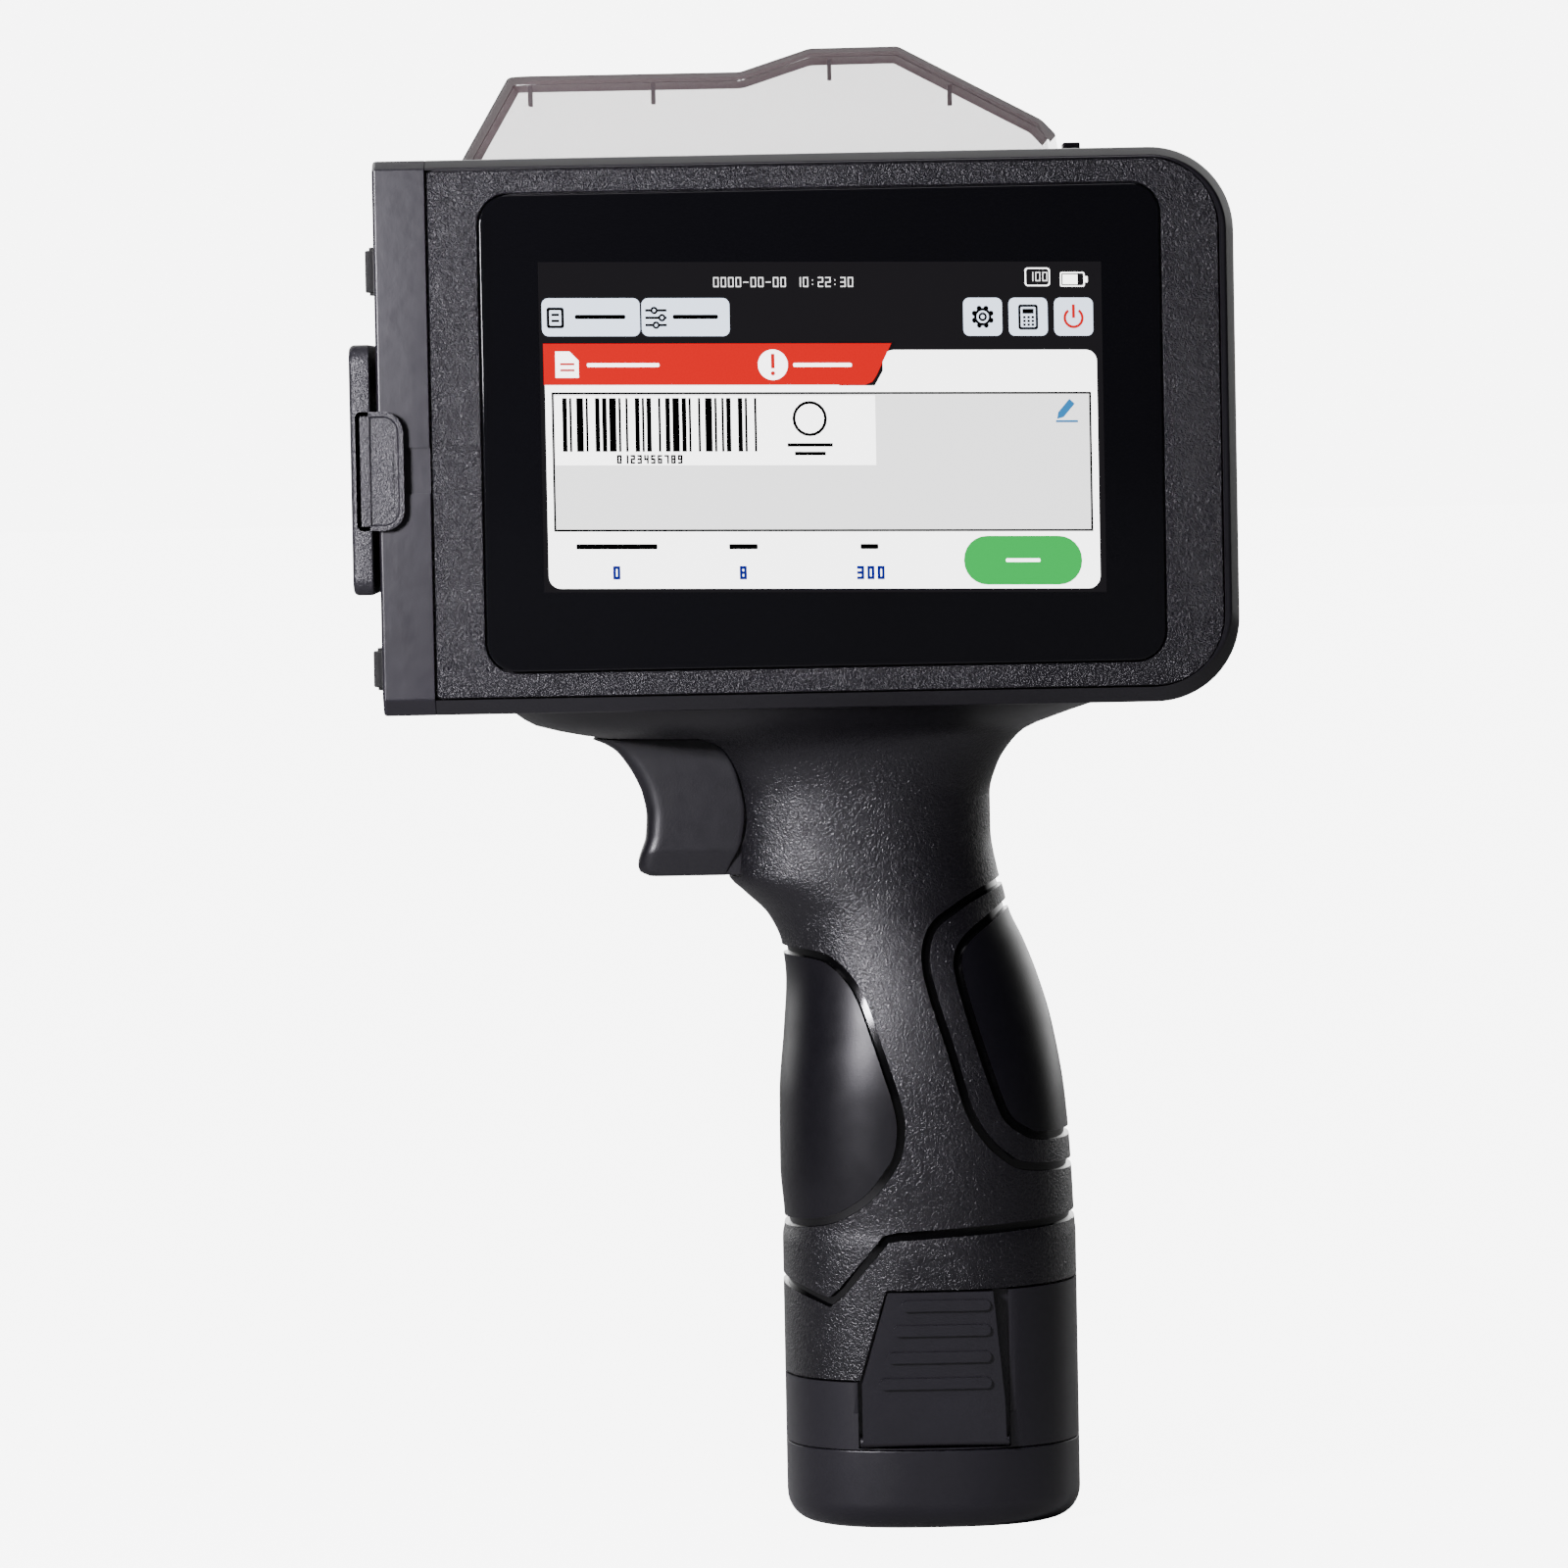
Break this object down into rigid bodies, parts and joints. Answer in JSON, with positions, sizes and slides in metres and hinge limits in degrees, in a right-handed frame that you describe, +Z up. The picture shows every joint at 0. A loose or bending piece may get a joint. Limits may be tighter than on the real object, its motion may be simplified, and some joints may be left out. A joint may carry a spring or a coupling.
{
  "type": "date code inkjet printer",
  "caption": "Hand-held inkjet date coder: boxy head with touch screen, capped print end, smoky cartridge cover, trigger grip and slide-in battery pack foot.",
  "frame": {"origin": "centre of the battery pack's underside, on the surface it stands on", "axes": "+Z up through the grip to the head, -X towards the print end, -Y towards the person reading the screen"},
  "size_m": [0.1477, 0.0726, 0.2499],
  "materials": {
    "casing": "fine moulded grain",
    "bezel": "fine leather grain",
    "glass": "polished black cover glass",
    "display": "polished",
    "board": "solder mask",
    "screw_steel": "plated",
    "end_cap": "satin",
    "nozzle_cap": "fine grain",
    "seal_rubber": "matte",
    "pin_steel": "ground",
    "holder": "moulded",
    "cartridge": "moulded",
    "nozzle_gold": "gold plated",
    "smoky_cover": "frosted smoke",
    "latch": "satin",
    "spring_steel": "drawn wire",
    "wheel_rubber": "matte",
    "encoder_film": "film",
    "bronze": "sintered",
    "button": "moulded",
    "socket_steel": "plated",
    "trigger": "satin",
    "loom": "sleeved",
    "pack": "fine moulded grain",
    "cell_wrap": "shrink wrap",
    "nickel": "bright"
  },
  "bodies": {
    "root": {"head_front_shell": "casing", "head_rear_shell": "casing", "front_bezel": "bezel", "touch_glass": "glass", "lcd_module": "display", "main_board": "board", "board_screws": "screw_steel", "head_screws": "screw_steel", "neck_screws": "screw_steel", "print_end_cap": "end_cap", "nozzle_cap_pin": "pin_steel", "cartridge_holder": "holder", "ink_cartridge": "cartridge", "nozzle_plate": "nozzle_gold", "cartridge_contact_board": "nozzle_gold", "cover_hinge_pin": "pin_steel", "latch_spring": "spring_steel", "encoder_sensor": "holder", "axle_bushes": "bronze", "io_panel": "casing", "power_switch": "holder", "port_flap_pin": "pin_steel", "usb_socket": "socket_steel", "dc_socket": "holder", "buzzer": "holder", "grip_near_shell": "casing", "grip_far_shell": "casing", "grip_screws": "screw_steel", "trigger_switch": "holder", "trigger_spring": "spring_steel", "battery_contact_block": "holder", "contact_blades": "nozzle_gold", "wiring_loom": "loom"},
    "nozzle_cap": {"nozzle_cap": "nozzle_cap", "nozzle_seal": "seal_rubber"},
    "cartridge_cover": {"cartridge_cover": "smoky_cover"},
    "cover_latch": {"cover_latch": "latch"},
    "encoder_shaft": {"encoder_axle": "pin_steel", "encoder_wheels": "wheel_rubber", "encoder_disc": "encoder_film"},
    "guide_shaft": {"guide_axle": "pin_steel", "guide_rollers": "wheel_rubber"},
    "power_button": {"power_button": "button"},
    "port_flap": {"port_flap": "seal_rubber"},
    "trigger": {"trigger": "trigger"},
    "battery_pack": {"battery_shell": "pack", "battery_base_cap": "pack", "battery_cells": "cell_wrap", "cell_holder": "holder", "battery_board": "board", "battery_terminals": "nozzle_gold", "nickel_strips": "nickel", "pack_screws": "screw_steel"},
    "battery_clip_near": {"battery_clip_near": "pack"},
    "battery_clip_far": {"battery_clip_far": "pack"}
  },
  "joints": [
    {"name": "trigger_pull", "type": "slide", "parent": "root", "child": "trigger", "axis": [1, 0, 0], "range_m": [0, 0.006], "stiffness_N_per_m": 900, "springref_m": -0.003, "deforming": ["trigger_spring"]},
    {"name": "nozzle_cap_hinge", "type": "hinge", "parent": "root", "child": "nozzle_cap", "pos_m": [-0.092, 0.0305, 0.18], "axis": [0, 0, -1], "range_deg": [0, 110]},
    {"name": "cover_hinge", "type": "hinge", "parent": "root", "child": "cartridge_cover", "pos_m": [0, 0.0354, 0.1508], "axis": [-1, 0, 0], "range_deg": [0, 105]},
    {"name": "latch_slide", "type": "slide", "parent": "root", "child": "cover_latch", "axis": [1, 0, 0], "range_m": [0, 0.0015], "stiffness_N_per_m": 300, "springref_m": -0.002, "deforming": ["latch_spring"]},
    {"name": "encoder_spin", "type": "hinge", "parent": "root", "child": "encoder_shaft", "pos_m": [-0.0817, -0.018, 0.18], "axis": [0, 0, 1], "continuous": true},
    {"name": "guide_spin", "type": "hinge", "parent": "root", "child": "guide_shaft", "pos_m": [-0.0865, 0.025, 0.18], "axis": [0, 0, 1], "continuous": true},
    {"name": "power_press", "type": "slide", "parent": "root", "child": "power_button", "axis": [-1, 0, 0], "range_m": [0, 0.001], "stiffness_N_per_m": 500, "springref_m": -0.001},
    {"name": "port_flap_hinge", "type": "hinge", "parent": "root", "child": "port_flap", "pos_m": [0.05255, 0.0092, 0.188], "axis": [0, 0, 1], "range_deg": [0, 100]},
    {"name": "pack_slide", "type": "slide", "parent": "root", "child": "battery_pack", "axis": [0, 0, -1], "range_m": [0, 0.055]},
    {"name": "clip_near_press", "type": "hinge", "parent": "battery_pack", "child": "battery_clip_near", "pos_m": [0, -0.0222, 0.015], "axis": [-1, 0, 0], "range_deg": [0, 3], "stiffness_Nm_per_rad": 0.6},
    {"name": "clip_far_press", "type": "hinge", "parent": "battery_pack", "child": "battery_clip_far", "pos_m": [0, 0.0222, 0.015], "axis": [1, 0, 0], "range_deg": [0, 3], "stiffness_Nm_per_rad": 0.6}
  ]
}
